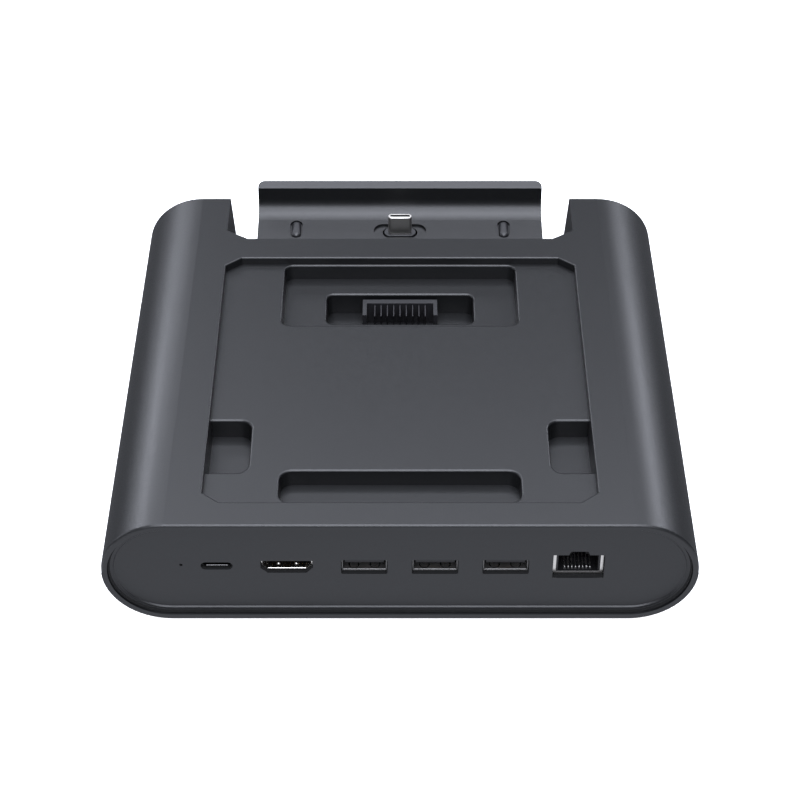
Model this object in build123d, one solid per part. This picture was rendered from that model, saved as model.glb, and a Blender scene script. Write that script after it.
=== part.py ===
from build123d import *
import math
import os

# Dock for a handheld console. Millimetres, +Z up, port side towards -Y, cradle towards +Y.
# All sizes below are measured from the port rim (Y) and from the housing underside (Z).

# Housing: a flat tube with round sides, split at mid height
BODY_W = 175.0
BODY_H = 39.0
BODY_L = 160.3
WALL = 2.2
TOP_EDGE_R = 0.75
LOW_EDGE_R = 0.12
SEAM = 0.25
FOOT_OUT = 1.0
FIT = 0.1
LAP_H = 1.2
LAP_T = 0.9
LAP_END = 2.0

# Mouth of the housing and the port panel in it
RIM_T = 1.8
RIM_DEPTH = 1.5
PANEL_GAP = 0.1
PANEL_T = 2.4
PANEL_EDGE = 0.1
COVE_R = 0.75
PANEL_BORDER = 0.6
PANEL_SUNK = 0.35
FLANGE_T = 1.4
SLOT_BITE = 0.45
PORT_FIT = 0.2
PORT_BACK = 1.6
PORT_UP = 0.7

# Sockets: places along X as shares of the housing width, heights from the middle of the panel
SHEET = 0.3
LED_AT = -0.3665
LED_UP = 0.9
LED_R = 0.5
LED_SKIN = 1.6
LED_SUNK = 1.1
LED_W = 2.6
LED_L = 2.0
LED_Y = 9.0
PIPE_R = 1.1
TYPE_C_AT = -0.3069
TYPE_C_UP = 0.45
TYPE_C_W = 9.0
TYPE_C_H = 2.6
TYPE_C_L = 8.0
TYPE_C_TONGUE_W = 6.6
TYPE_C_TONGUE_T = 0.7
TYPE_C_BLOCK = 1.2
VIDEO_AT = -0.1897
VIDEO_UP = 0.5
VIDEO_W = 15.0
VIDEO_H = 4.55
VIDEO_CUT = 1.9
VIDEO_L = 11.0
VIDEO_TONGUE_W = 11.0
VIDEO_TONGUE_T = 0.9
VIDEO_TONGUE_UP = 0.5
TYPE_A_ATS = (-0.0599, 0.0588, 0.17714)
TYPE_A_W = 13.25
TYPE_A_H = 5.4
TYPE_A_L = 14.0
TYPE_A_R = 0.4
TYPE_A_TONGUE_T = 1.8
TYPE_A_TONGUE_DROP = 0.7
TYPE_A_TONGUE_IN = 0.6
INSERT_BACK = 3.0
TONGUE_BACK = 0.8
FINGER_X = 3.1
VIDEO_FINGER_X = 2.6
FINGER_Y = 0.7
FINGER_W = 3.2
FINGER_L = 5.0
FINGER_SLIT = 0.4
DIMPLE_R = 0.75
HEM_R = 0.3
SMALL_HEM_R = 0.22
NET_AT = 0.29914
NET_W = 14.7
NET_DROP = 4.4
NET_H = 9.1
NET_BODY_H = 11.1
NET_KEY_W = 5.8
NET_KEY_SLANT = 0.6
NET_KEY_H = 1.5
NET_L = 17.0
NET_ROOM_L = 12.0
NET_BACK = 2.1
NET_FRAME = 0.85
NET_SILL = 0.45
NET_STEP = 0.6
NET_EAR = 1.6
NET_EAR_L = 5.0
NET_PITCH = 1.07
NET_WIRES = 8
NET_WIRE_T = 0.4
NET_WIRE_RISE = 2.2
NET_TIP_R = 0.3

# Battery bay in the top face and the pockets below its floor
BAY_SIDE = 29.7
BAY_Y0 = 9.9
BAY_TO_NOTCH = 10.6
BAY_CUT_X = 5.2
BAY_CUT_Y = 4.1
BAY_DEPTH = 2.65
BAY_R = 0.5
DRAFT = 2.5
POCKET_RIM = 0.7
FAR_W = 76.4
FAR_L = 31.4
FAR_EDGE = 0.82
FAR_DEPTH = 5.5
FAR_R = 3.0
WELL_W = 48.2
WELL_L = 15.3
WELL_IN = 7.5
WELL_DEPTH = 8.0
WELL_R = 2.4
SIDE_W = 12.8
SIDE_L = 23.05
SIDE_IN = 15.1
SIDE_DEPTH = 6.6
SIDE_R = 3.8
NEAR_W = 71.4
NEAR_L = 13.4
NEAR_IN = 2.5
NEAR_DEPTH = 5.7
NEAR_R = 3.9

# Blade connector in the well
BLADES = 9
BLADE_PITCH = 2.08
BLADE_T = 0.35
BLADE_L = 6.0
BLADE_LOW = 0.6
CONN_W = 24.6
CONN_L = 13.4
CONN_IN = 0.3
CONN_LOW = 0.85
CONN_BACK = 2.0
CONN_SIDE = 1.3
CONN_SIDE_L = 8.2
CONN_BASE = 1.15
CONN_LIP_UP = 1.35
CONN_LIP_T = 1.2
CONN_SLIT = 0.8

# Notch at the far end, walls leaning by the draft angle
NOTCH_SIDE = 29.0
NOTCH_L = 23.5
NOTCH_CUT_X = 7.2
NOTCH_CUT_Y = 4.6
NOTCH_DRAFT = 4.0

# Cradle tray
CRADLE_IN = 8.0
DECK_DROP = 0.9
DECK_T = 2.6
FLOOR_TILT = 7.0
LIP_FOOT = 17.4
LIP_LEAN = 8.0
LIP_H = 11.25
LIP_T = 3.6
LIP_TILT = 15.0
TRAY_R = 6.05
LIP_R = 0.4
END_R = 2.4
HULL_Z = 7.0
HULL_R = 7.0
HULL_LEAN = 2.0

# Pads and plug in the tray
PAD_X = 36.8
PAD_UP = 8.1
PAD_W = 3.4
PAD_L = 7.7
PAD_R = 1.2
PAD_GAP = 0.5
PAD_SINK = 0.9
PAD_PROUD = 0.6
PLUG_UP = 7.3
PLUG_W = 8.3
PLUG_T = 2.45
PLUG_H = 7.2
PLUG_R = 0.35
PLUG_SHEET = 0.3
PLUG_LEVEL = 5.0
PLUG_SEAT = 2.0
PLUG_SLOT_W = 6.7
PLUG_SLOT_T = 0.8
PLUG_SLOT_DEEP = 6.0
CORE_LOW = 0.5
DISH_W = 18.6
DISH_T = 6.8
DISH_DEPTH = 1.0
BOOT_W = 11.3
BOOT_T = 4.3
BOOT_R = 0.35
BOOT_GAP = 0.5
BOOT_LOW = 0.4
PLUG_EAR = 19.0

# Boards, cable and the pieces on them
BOARD_T = 1.6
BOARD_FRONT_IN = 18.5
BOARD_FRONT_L = 20.0
BOARD_IN = 31.5
BOARD_GAP = 0.5
BOARD_TO_NOTCH = 8.5
THIN_BOARD_T = 1.2
BATTERY_BOARD_W = 62.0
BATTERY_BOARD_L = 23.5
BATTERY_BOARD_OUT = 5.4
PLUG_BOARD_W = 46.0
PLUG_BOARD_L = 12.5
PLUG_BOARD_OFF = 0.75
CHIP_W = 14.0
CHIP_T = 1.2
CHIP_Y = 70.0
LINK_W = 16.0
LINK_L = 4.0
CABLE_W = 12.0
CABLE_T = 0.3
CABLE_IN = 6.4
CABLE_UP = 0.5
CABLE_BEND = 1.5
CABLE_SOCKET_W = 14.0
CABLE_SOCKET_L = 3.2
CABLE_SOCKET_H = 1.4

# Feet and fasteners
FOOT_R = 6.0
FOOT_X = 50.0
FOOT_IN = 18.0
FOOT_SINK = 0.6
FOOT_EDGE = 0.4
CASE_SHANK = 1.2
CASE_HEAD = 2.2
CASE_HEAD_H = 1.5
CASE_LEN = 7.5
CASE_GRIP = 2.5
CASE_IN = 23.0
CASE_YS = (34.0, 84.0)
CASE_END_IN = 21.5
CASE_END = 12.0
CRADLE_SCREW_IN = 6.5
CRADLE_SCREW_UPS = (-10.0, 11.0)
CRADLE_BOSS_Z = 12.0
BOSS_R = 3.2
POST_R = 2.6
POST_IN = 6.0
POST_Y = 33.0
POST_END = 8.0
LINK_SCREW_OUT = 2.9
BOARD_SHANK = 0.9
BOARD_HEAD = 1.8
BOARD_HEAD_H = 1.1
BOARD_LEN = 4.6
SCREW_GAP = 0.05
TIP_ROOM = 0.3

# Derived heights
PART_Z = BODY_H / 2
BAY_Z = BODY_H - BAY_DEPTH
FAR_Z = BAY_Z - FAR_DEPTH
WELL_Z = FAR_Z - WELL_DEPTH
LINK_Z = WELL_Z - WALL
CONN_TOP = FAR_Z - CONN_LOW
CONN_FLOOR = LINK_Z + CONN_BASE
CONN_LIP = WELL_Z + CONN_LIP_UP
PORT_Z = PART_Z + PORT_UP
BOARD_Z = PORT_Z - TYPE_A_H / 2
TYPE_C_Z = PORT_Z + TYPE_C_UP
VIDEO_Z0 = BOARD_Z + VIDEO_UP
LED_Z = PORT_Z + LED_UP
NET_Z0 = PORT_Z - NET_DROP
NET_TOP = NET_Z0 + NET_BODY_H
DECK_Z = PART_Z - DECK_DROP
SPLIT_Z = DECK_Z - DECK_T
LIP_Z = DECK_Z + LIP_H
LIP_TOP = LIP_Z + LIP_T * math.tan(math.radians(LIP_TILT))

# Derived places along the depth
PLATE_Y = RIM_DEPTH + PANEL_T
SLOT_END = PLATE_Y + FLANGE_T
SOCKET_Y = RIM_DEPTH + PORT_BACK
NET_Y = RIM_DEPTH + NET_BACK
NOTCH_Y = BODY_L - NOTCH_L
BAY_Y1 = NOTCH_Y - BAY_TO_NOTCH
FAR_Y1 = BAY_Y1 - FAR_EDGE
FAR_Y0 = FAR_Y1 - FAR_L
WELL_Y0 = FAR_Y0 + WELL_IN
WELL_Y1 = WELL_Y0 + WELL_L
SIDE_Y0 = BAY_Y0 + SIDE_IN
SIDE_Y1 = SIDE_Y0 + SIDE_L
NEAR_Y0 = BAY_Y0 + NEAR_IN
NEAR_Y1 = NEAR_Y0 + NEAR_L
CONN_Y0 = WELL_Y0 + CONN_IN
CONN_Y1 = CONN_Y0 + CONN_L
LINK_Y0 = WELL_Y0 - BATTERY_BOARD_OUT
LINK_Y1 = LINK_Y0 + BATTERY_BOARD_L
BOARD_END = NOTCH_Y - BOARD_TO_NOTCH
TILT = math.radians(FLOOR_TILT)
LIP_RISE = LIP_H - LIP_FOOT * math.tan(TILT)
LIP_IN = BODY_L + LIP_FOOT + LIP_RISE * math.tan(math.radians(LIP_LEAN))
DEPTH = LIP_IN + LIP_T
SHIFT = Location((0, -DEPTH / 2, FOOT_OUT))

# Derived widths, and the places of feet and fasteners
BAY_W = BODY_W - 2 * BAY_SIDE
SIDE_X0 = BAY_W / 2 - SIDE_W
NOTCH_W = BODY_W - 2 * NOTCH_SIDE
CRADLE_W = NOTCH_W - 2 * CRADLE_IN
LED_X = LED_AT * BODY_W
TYPE_C_X = TYPE_C_AT * BODY_W
VIDEO_X = VIDEO_AT * BODY_W
TYPE_A_XS = [share * BODY_W for share in TYPE_A_ATS]
NET_X = NET_AT * BODY_W
BOARD_FRONT_W = BODY_W - 2 * BOARD_FRONT_IN
BOARD_W = BODY_W - 2 * BOARD_IN
SIDES = (-1, 1)
FOOT_SPOTS = [(s * FOOT_X, y) for s in SIDES for y in (FOOT_IN, BODY_L - FOOT_IN)]
CASE_SPOTS = [(s * (BODY_W / 2 - CASE_IN), y) for s in SIDES for y in CASE_YS]
CASE_SPOTS += [(s * (BODY_W / 2 - CASE_END_IN), BODY_L - CASE_END) for s in SIDES]
CRADLE_SCREW_X = CRADLE_W / 2 - CRADLE_SCREW_IN
CRADLE_SPOTS = [(s * CRADLE_SCREW_X, BODY_L + up) for s in SIDES for up in CRADLE_SCREW_UPS]
POST_SPOTS = [(s * (BOARD_W / 2 - POST_IN), y) for s in SIDES for y in (POST_Y, BOARD_END - POST_END)]
LINK_SPOTS = [(s * (WELL_W / 2 + LINK_SCREW_OUT), (WELL_Y0 + WELL_Y1) / 2) for s in SIDES]


def is_near(a, b):
    """True for two lengths that are the same but for rounding."""
    return abs(a - b) < 0.01


def box(x0, x1, y0, y1, z0, z1):
    """Block between six planes."""
    middle = ((x0 + x1) / 2, (y0 + y1) / 2, (z0 + z1) / 2)
    return Pos(*middle) * Box(x1 - x0, y1 - y0, z1 - z0)


def along_y(sketch, y0, y1):
    """Sketch drawn in X and Z, pulled from y0 to y1."""
    return extrude(Plane.XZ.offset(-y0) * sketch, -(y1 - y0))


def along_z(sketch, z0, z1):
    """Sketch drawn in X and Y, pulled from z0 to z1."""
    return extrude(Plane.XY.offset(z0) * sketch, z1 - z0)


def along_x(sketch, x0, x1):
    """Sketch drawn in Y and Z, pulled from x0 to x1."""
    return extrude(Plane.YZ.offset(x0) * sketch, x1 - x0)


def rod(spot, radius, z0, z1):
    """Upright cylinder."""
    return along_z(Pos(*spot) * Circle(radius), z0, z1)


def tube_face(inset):
    """Cross-section of the housing, drawn in by an inset."""
    return Pos(0, PART_Z) * SlotOverall(BODY_W - 2 * inset, BODY_H - 2 * inset)


def round_rect(x0, x1, y0, y1, radius):
    """Rounded rectangle between four lines."""
    middle = Pos((x0 + x1) / 2, (y0 + y1) / 2)
    return middle * RectangleRounded(x1 - x0, y1 - y0, radius)


def notch_face(grow):
    """Plan of the notch at the top face, grown outwards."""
    half = NOTCH_W / 2
    corner = half - NOTCH_CUT_X
    knee = NOTCH_Y + NOTCH_CUT_Y
    end = BODY_L + NOTCH_L
    half_plan = [(corner, NOTCH_Y), (half, knee), (half, end)]
    other = [(-x, y) for x, y in reversed(half_plan)]
    face = make_face(Polyline(*half_plan, *other, close=True))
    return offset(face, grow, kind=Kind.INTERSECTION) if grow else face


def notch_block(grow, z0):
    """Body of the notch from the top face down, narrowing by the draft."""
    return extrude(Plane.XY.offset(BODY_H) * notch_face(grow), z0 - BODY_H, taper=NOTCH_DRAFT)


def bay_face(grow):
    """Plan of the battery bay: a rectangle with cut corners."""
    half = BAY_W / 2
    right = [
        (half - BAY_CUT_X, BAY_Y0),
        (half, BAY_Y0 + BAY_CUT_Y),
        (half, BAY_Y1 - BAY_CUT_Y),
        (half - BAY_CUT_X, BAY_Y1),
    ]
    left = [(-x, y) for x, y in reversed(right)]
    face = make_face(Polyline(*right, *left, close=True))
    return offset(face, grow, kind=Kind.INTERSECTION) if grow else face


def side_pocket_face(sign, grow):
    """Plan of a pocket that runs out to the bay's side wall."""
    inner = SIDE_X0 - grow
    outer = BAY_W / 2 + grow
    face = make_face(
        Polyline(
            (sign * inner, SIDE_Y0 - grow),
            (sign * outer, SIDE_Y0 - grow),
            (sign * outer, SIDE_Y1 + grow),
            (sign * inner, SIDE_Y1 + grow),
            close=True,
        )
    )
    near_middle = face.vertices().sort_by(Axis.X)
    corners = near_middle[:2] if sign > 0 else near_middle[-2:]
    return fillet(corners, SIDE_R + grow)


def pockets(grow):
    """The pockets below the bay floor: plan and depth below that floor."""
    far = round_rect(-FAR_W / 2 - grow, FAR_W / 2 + grow, FAR_Y0 - grow, FAR_Y1 + grow, FAR_R + grow)
    near = round_rect(
        -NEAR_W / 2 - grow, NEAR_W / 2 + grow, NEAR_Y0 - grow, NEAR_Y1 + grow, NEAR_R + grow
    )
    sides = [(side_pocket_face(sign, grow), SIDE_DEPTH) for sign in SIDES]
    return [(far, FAR_DEPTH), (near, NEAR_DEPTH)] + sides


def pocket_room(plan, deep):
    """Space of one pocket, its walls leaning in by the draft angle."""
    return extrude(Plane.XY.offset(BAY_Z) * plan, -deep, taper=DRAFT)


def well_face(grow):
    """Plan of the deep well that holds the blade connector."""
    return round_rect(
        -WELL_W / 2 - grow, WELL_W / 2 + grow, WELL_Y0 - grow, WELL_Y1 + grow, WELL_R + grow
    )


def housing_hollow():
    """Everything scooped out of both shells: mouth, panel slot and cavity."""
    mouth = along_y(tube_face(RIM_T), -1, PLATE_Y)
    slot = along_y(tube_face(RIM_T - SLOT_BITE), PLATE_Y, SLOT_END + FIT)
    cavity = along_y(tube_face(WALL), SLOT_END + FIT, BODY_L - WALL)
    return [mouth, slot, cavity]


def housing_outside(edge):
    """Outer form of the housing with softened ends."""
    form = along_y(tube_face(0), 0, BODY_L)
    ends = [e for e in form.edges() if is_near(e.center().Y, 0) or is_near(e.center().Y, BODY_L)]
    return fillet(ends, edge)


def seam_groove():
    """Small V cut along the outside of the parting line."""
    wedge = make_face(
        Polyline(
            (BODY_W / 2 - SEAM, PART_Z),
            (BODY_W / 2 + SEAM, PART_Z + 2 * SEAM),
            (BODY_W / 2 + SEAM, PART_Z - 2 * SEAM),
            close=True,
        )
    )
    right = along_y(wedge, -1, BODY_L + 1)
    return [right, mirror(right, Plane.YZ)]


def lap_ribs(grow):
    """Rib on the lower wall that steps into the upper one."""
    outer = BODY_W / 2 - WALL + LAP_T + grow
    inner = BODY_W / 2 - WALL - grow
    y0 = SLOT_END + LAP_END - grow
    y1 = BODY_L - WALL - LAP_END + grow
    right = box(inner, outer, y0, y1, PART_Z, PART_Z + LAP_H + grow)
    return [right, mirror(right, Plane.YZ)]


def level_edges(solid, level, pick):
    """Edges that lie wholly at one height and whose middle is accepted by pick."""
    found = []
    for edge in solid.edges():
        span = edge.bounding_box()
        if is_near(span.min.Z, level) and is_near(span.max.Z, level) and pick(edge.center()):
            found.append(edge)
    return found


def anywhere(p):
    """Test that accepts every point."""
    return True


def inside(x, y0, y1):
    """Test for a point within a rectangle centred on X, a little oversize."""
    return lambda p: abs(p.X) < x + 0.2 and y0 - 0.2 < p.Y < y1 + 0.2


def pocket_rim(p):
    """Test for the outline of any pocket in the bay floor."""
    at_wall = abs(p.X) > BAY_W / 2 - 0.2
    far = inside(FAR_W / 2, FAR_Y0, FAR_Y1)(p)
    near = inside(NEAR_W / 2, NEAR_Y0, NEAR_Y1)(p)
    side = abs(p.X) > SIDE_X0 - 0.2 and SIDE_Y0 - 0.2 < p.Y < SIDE_Y1 + 0.2
    return not at_wall and (far or near or side)


def top_shell():
    """Upper housing half with bay, pockets and notch moulded in one."""
    shell = housing_outside(TOP_EDGE_R) & box(-BODY_W, BODY_W, -1, BODY_L + 1, PART_Z, BODY_H + 1)
    shell -= housing_hollow()
    under = BODY_H - WALL / 2
    walls = [along_z(bay_face(WALL), BAY_Z - WALL, under)]
    walls += [along_z(plan, BAY_Z - deep - WALL, BAY_Z) for plan, deep in pockets(WALL)]
    walls += [along_z(well_face(WALL), LINK_Z, FAR_Z)]
    walls += [notch_block(WALL, DECK_Z) & box(-BODY_W, BODY_W, 0, BODY_L, DECK_Z, under)]
    walls += [rod(spot, BOSS_R, PART_Z, under) for spot in CASE_SPOTS]
    walls += [rod(spot, POST_R, LINK_Z, FAR_Z) for spot in LINK_SPOTS]
    shell += walls
    shell -= along_z(bay_face(0), BAY_Z, BODY_H + 1)
    shell = fillet(level_edges(shell, BODY_H, inside(BAY_W / 2, BAY_Y0, BAY_Y1)), BAY_R)
    shell -= [pocket_room(*pocket) for pocket in pockets(0)]
    shell = fillet(level_edges(shell, BAY_Z, pocket_rim), POCKET_RIM)
    shell -= along_z(well_face(0), WELL_Z, FAR_Z)
    shell = fillet(level_edges(shell, FAR_Z, inside(WELL_W / 2, WELL_Y0, WELL_Y1)), POCKET_RIM)
    gate = CONN_W / 2 + FIT
    cuts = [box(-gate, gate, CONN_Y0 - FIT, CONN_Y1 + FIT, LINK_Z - 1, WELL_Z + 1)]
    cuts += [notch_block(0, DECK_Z - 1)]
    grip = CASE_LEN - CASE_GRIP + TIP_ROOM
    cuts += [rod(spot, CASE_SHANK + SCREW_GAP, PART_Z - 1, PART_Z + grip) for spot in CASE_SPOTS]
    grip = BOARD_LEN - THIN_BOARD_T + TIP_ROOM
    cuts += [rod(spot, BOARD_SHANK + SCREW_GAP, LINK_Z - 1, LINK_Z + grip) for spot in LINK_SPOTS]
    return shell - (cuts + lap_ribs(FIT) + seam_groove())


def hull_front(z):
    """Y of the cradle's leaning front face at a height."""
    return DEPTH - (LIP_TOP - z) * math.tan(math.radians(HULL_LEAN))


def split_front():
    """Height where the plane between tray and trough meets the front face."""
    lean = math.tan(math.radians(HULL_LEAN))
    rise = (DEPTH - LIP_TOP * lean - BODY_L) * math.tan(TILT)
    return (SPLIT_Z + rise) / (1 - lean * math.tan(TILT))


def round_ends(solid):
    """Softens the upright corners at both ends of the cradle's front face."""
    corners = []
    for edge in solid.edges():
        span = edge.bounding_box()
        at_end = is_near(abs(edge.center().X), CRADLE_W / 2) and is_near(span.size.X, 0)
        on_front = is_near(hull_front(edge.center().Z), edge.center().Y) and span.size.Z > DECK_T
        if at_end and on_front:
            corners.append(edge)
    return fillet(corners, END_R)


def trough():
    """Lower half of the cradle, in one with the bottom shell."""
    top = split_front()
    side = make_face(
        Polyline(
            (BODY_L - WALL, HULL_Z),
            (hull_front(HULL_Z), HULL_Z),
            (hull_front(top), top),
            (BODY_L, SPLIT_Z),
            (BODY_L - WALL, SPLIT_Z),
            close=True,
        )
    )
    form = along_x(side, -CRADLE_W / 2, CRADLE_W / 2)
    foot = [e for e in form.edges() if is_near(e.center().Z, HULL_Z) and is_near(e.center().X, 0)]
    foot = [e for e in foot if e.center().Y > BODY_L + LIP_FOOT]
    form = round_ends(fillet(foot, HULL_R))
    room = box(
        WALL - CRADLE_W / 2,
        CRADLE_W / 2 - WALL,
        BODY_L,
        hull_front(HULL_Z) - WALL,
        HULL_Z + WALL,
        BODY_H,
    )
    far_low = [e for e in room.edges() if is_near(e.center().Z, HULL_Z + WALL) and is_near(e.center().X, 0)]
    room = fillet([e for e in far_low if e.center().Y > BODY_L + LIP_FOOT / 2], HULL_R - WALL)
    return form, room


def bottom_shell():
    """Lower housing half with posts, screw wells and the trough under the tray."""
    shell = housing_outside(LOW_EDGE_R) & box(-BODY_W, BODY_W, -1, BODY_L + 1, -1, PART_Z)
    shell -= housing_hollow()
    form, room = trough()
    step = deck_half() + FIT
    shell -= box(-step, step, BODY_L - 2 * WALL, BODY_L + 1, SPLIT_Z, BODY_H)
    shell += form
    gate = box(-CABLE_W * 2, CABLE_W * 2, BODY_L - 2 * WALL, BODY_L + 1, HULL_Z + WALL, BODY_H)
    shell -= [room, gate]
    adds = [rod(spot, BOSS_R, WALL / 2, PART_Z) for spot in CASE_SPOTS]
    adds += [rod(spot, POST_R, WALL / 2, BOARD_Z - BOARD_T) for spot in POST_SPOTS]
    for spot in CRADLE_SPOTS:
        floor = 0 if spot[1] < BODY_L else HULL_Z
        adds.append(rod(spot, BOSS_R, floor + WALL / 2, CRADLE_BOSS_Z))
    shell += adds + lap_ribs(0)
    well = CASE_HEAD + PORT_FIT
    cuts = [rod(spot, well, -1, PART_Z - CASE_GRIP) for spot in CASE_SPOTS]
    cuts += [rod(spot, well, -1, CRADLE_BOSS_Z - CASE_GRIP) for spot in CRADLE_SPOTS]
    cuts += [rod(spot, CASE_SHANK + PORT_FIT, 0, PART_Z + 1) for spot in CASE_SPOTS]
    cuts += [rod(spot, CASE_SHANK + PORT_FIT, 0, PART_Z + 1) for spot in CRADLE_SPOTS]
    post_top = BOARD_Z - BOARD_T
    grip = BOARD_LEN - BOARD_T + TIP_ROOM
    cuts += [rod(spot, BOARD_SHANK + SCREW_GAP, post_top - grip, post_top + 1) for spot in POST_SPOTS]
    cuts += [rod(spot, FOOT_R + FIT, -1, FOOT_SINK) for spot in FOOT_SPOTS]
    return shell - (cuts + seam_groove())


def deck_half():
    """Half width of the deck, just past the notch walls that stand on it."""
    return NOTCH_W / 2 + deck_grow()


def deck_grow():
    """How far the deck reaches beyond the notch plan of the top face."""
    return WALL + PORT_FIT - (BODY_H - DECK_Z) * math.tan(math.radians(NOTCH_DRAFT))


def floor_plane(x, up):
    """Plane on the tray floor, at a distance up from the housing end."""
    return Plane(
        origin=(x, BODY_L + up, DECK_Z + up * math.tan(TILT)),
        x_dir=(1, 0, 0),
        z_dir=(0, -math.sin(TILT), math.cos(TILT)),
    )


def on_plane(plane, sketch, z0, z1):
    """Sketch on a plane, pulled between two heights above it."""
    return extrude(plane.offset(z0) * sketch, z1 - z0)


def cradle():
    """Deck in the notch and J-shaped tray with its lip."""
    knee = (BODY_L + LIP_FOOT, DECK_Z + LIP_FOOT * math.tan(TILT))
    top = split_front()
    side = make_face(
        Polyline(
            (BODY_L, SPLIT_Z),
            (BODY_L, DECK_Z),
            knee,
            (LIP_IN, LIP_Z),
            (DEPTH, LIP_TOP),
            (hull_front(top), top),
            close=True,
        )
    )
    tray = along_x(side, -CRADLE_W / 2, CRADLE_W / 2)
    bend = [e for e in tray.edges() if is_near(e.center().Y, knee[0]) and is_near(e.center().X, 0)]
    tray = round_ends(fillet(bend, TRAY_R))
    tray = fillet(tray.faces().sort_by(Axis.Z)[-1].edges(), LIP_R)
    deck = along_z(notch_face(deck_grow()), SPLIT_Z, DECK_Z)
    deck &= box(-BODY_W, BODY_W, 0, BODY_L, 0, BODY_H)
    bosses = [rod(spot, BOSS_R, CRADLE_BOSS_Z, SPLIT_Z + 1) for spot in CRADLE_SPOTS]
    plane = floor_plane(0, PLUG_UP)
    ears = [Pos(s * PLUG_EAR, 0) for s in SIDES]
    bosses += [on_plane(plane, ear * Circle(POST_R), -PLUG_LEVEL, -DECK_T / 2) for ear in ears]
    lid = tray + ([deck] + bosses)
    grip = CASE_LEN - CASE_GRIP + TIP_ROOM
    cuts = [
        rod(spot, CASE_SHANK + SCREW_GAP, CRADLE_BOSS_Z - 1, CRADLE_BOSS_Z + grip)
        for spot in CRADLE_SPOTS
    ]
    grip = BOARD_LEN - THIN_BOARD_T + TIP_ROOM - PLUG_LEVEL
    hole = Circle(BOARD_SHANK + SCREW_GAP)
    cuts += [on_plane(plane, ear * hole, -PLUG_LEVEL - 1, grip) for ear in ears]
    cuts.append(on_plane(plane, SlotOverall(DISH_W, DISH_T), -DISH_DEPTH, 2))
    gap = 2 * BOOT_GAP
    cuts.append(on_plane(plane, SlotOverall(BOOT_W + gap, BOOT_T + gap), -PLUG_LEVEL, 0))
    seat = Rot(0, 0, 90) * SlotOverall(PAD_L + 2 * PAD_GAP, PAD_W + 2 * PAD_GAP)
    cuts += [on_plane(floor_plane(s * PAD_X, PAD_UP), seat, -PAD_SINK, 2) for s in SIDES]
    return lid - cuts


def cradle_pad(sign):
    """Soft capsule pad glued in its seat in the tray."""
    shape = Rot(0, 0, 90) * SlotOverall(PAD_L, PAD_W)
    plane = floor_plane(sign * PAD_X, PAD_UP)
    pad = on_plane(Plane.XY, shape, -PAD_SINK, PAD_PROUD)
    pad = fillet(level_edges(pad, PAD_PROUD, anywhere), PAD_R)
    return plane.location * pad


def plug_pieces():
    """Plug that stands up in the tray: boot, steel shell with a rolled-in end, and core."""
    plane = floor_plane(0, PLUG_UP)
    foot = PLUG_SEAT - PLUG_LEVEL
    boot = on_plane(Plane.XY, SlotOverall(BOOT_W, BOOT_T), -PLUG_LEVEL, -BOOT_LOW)
    boot = fillet(level_edges(boot, -BOOT_LOW, anywhere), BOOT_R)
    boot -= on_plane(Plane.XY, SlotOverall(PLUG_W, PLUG_T), foot, 1)
    inner = SlotOverall(PLUG_W - 2 * PLUG_SHEET, PLUG_T - 2 * PLUG_SHEET)
    shell = on_plane(Plane.XY, SlotOverall(PLUG_W, PLUG_T), foot, PLUG_H)
    shell = fillet(level_edges(shell, PLUG_H, anywhere), PLUG_R)
    shell -= on_plane(Plane.XY, inner, foot - 1, PLUG_H - PLUG_SHEET)
    core = on_plane(Plane.XY, inner, foot, PLUG_H - CORE_LOW)
    slot = RectangleRounded(PLUG_SLOT_W, PLUG_SLOT_T, PLUG_SLOT_T / 4)
    mouth = on_plane(Plane.XY, slot, PLUG_H - PLUG_SLOT_DEEP, PLUG_H + 1)
    shell -= mouth
    core -= mouth
    return [plane.location * piece for piece in (boot, shell, core)]


def plug_board():
    """Small board under the tray, square to the plug."""
    plane = floor_plane(0, PLUG_UP)
    outline = Pos(0, -PLUG_BOARD_OFF) * RectangleRounded(PLUG_BOARD_W, PLUG_BOARD_L, 1)
    board = on_plane(Plane.XY, outline, -PLUG_LEVEL - THIN_BOARD_T, -PLUG_LEVEL)
    hole = Circle(BOARD_SHANK + SCREW_GAP)
    for s in SIDES:
        board -= on_plane(Plane.XY, Pos(s * PLUG_EAR, 0) * hole, -PLUG_LEVEL - 2, -PLUG_LEVEL + 1)
    half = CABLE_SOCKET_W / 2
    top = CABLE_SOCKET_H - PLUG_LEVEL
    socket = box(-half, half, -CABLE_IN, CABLE_SOCKET_L - CABLE_IN, -PLUG_LEVEL, top)
    return [plane.location * piece for piece in (board, socket)]


def plug_cable():
    """Flat cable from the main board's edge, under the deck, to the plug board."""
    plane = floor_plane(0, PLUG_UP)
    end = (plane * Pos(0, -CABLE_IN, CABLE_UP - PLUG_LEVEL)).position
    start = BOARD_Z + CABLE_UP
    path = [
        (BOARD_END, start),
        (BOARD_END + CABLE_BEND, start),
        (NOTCH_Y - WALL - CABLE_BEND, end.Z),
        (end.Y - SCREW_GAP, end.Z),
    ]
    upper = [(y, z + CABLE_T) for y, z in reversed(path)]
    return along_x(make_face(Polyline(*path, *upper, close=True)), -CABLE_W / 2, CABLE_W / 2)


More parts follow.
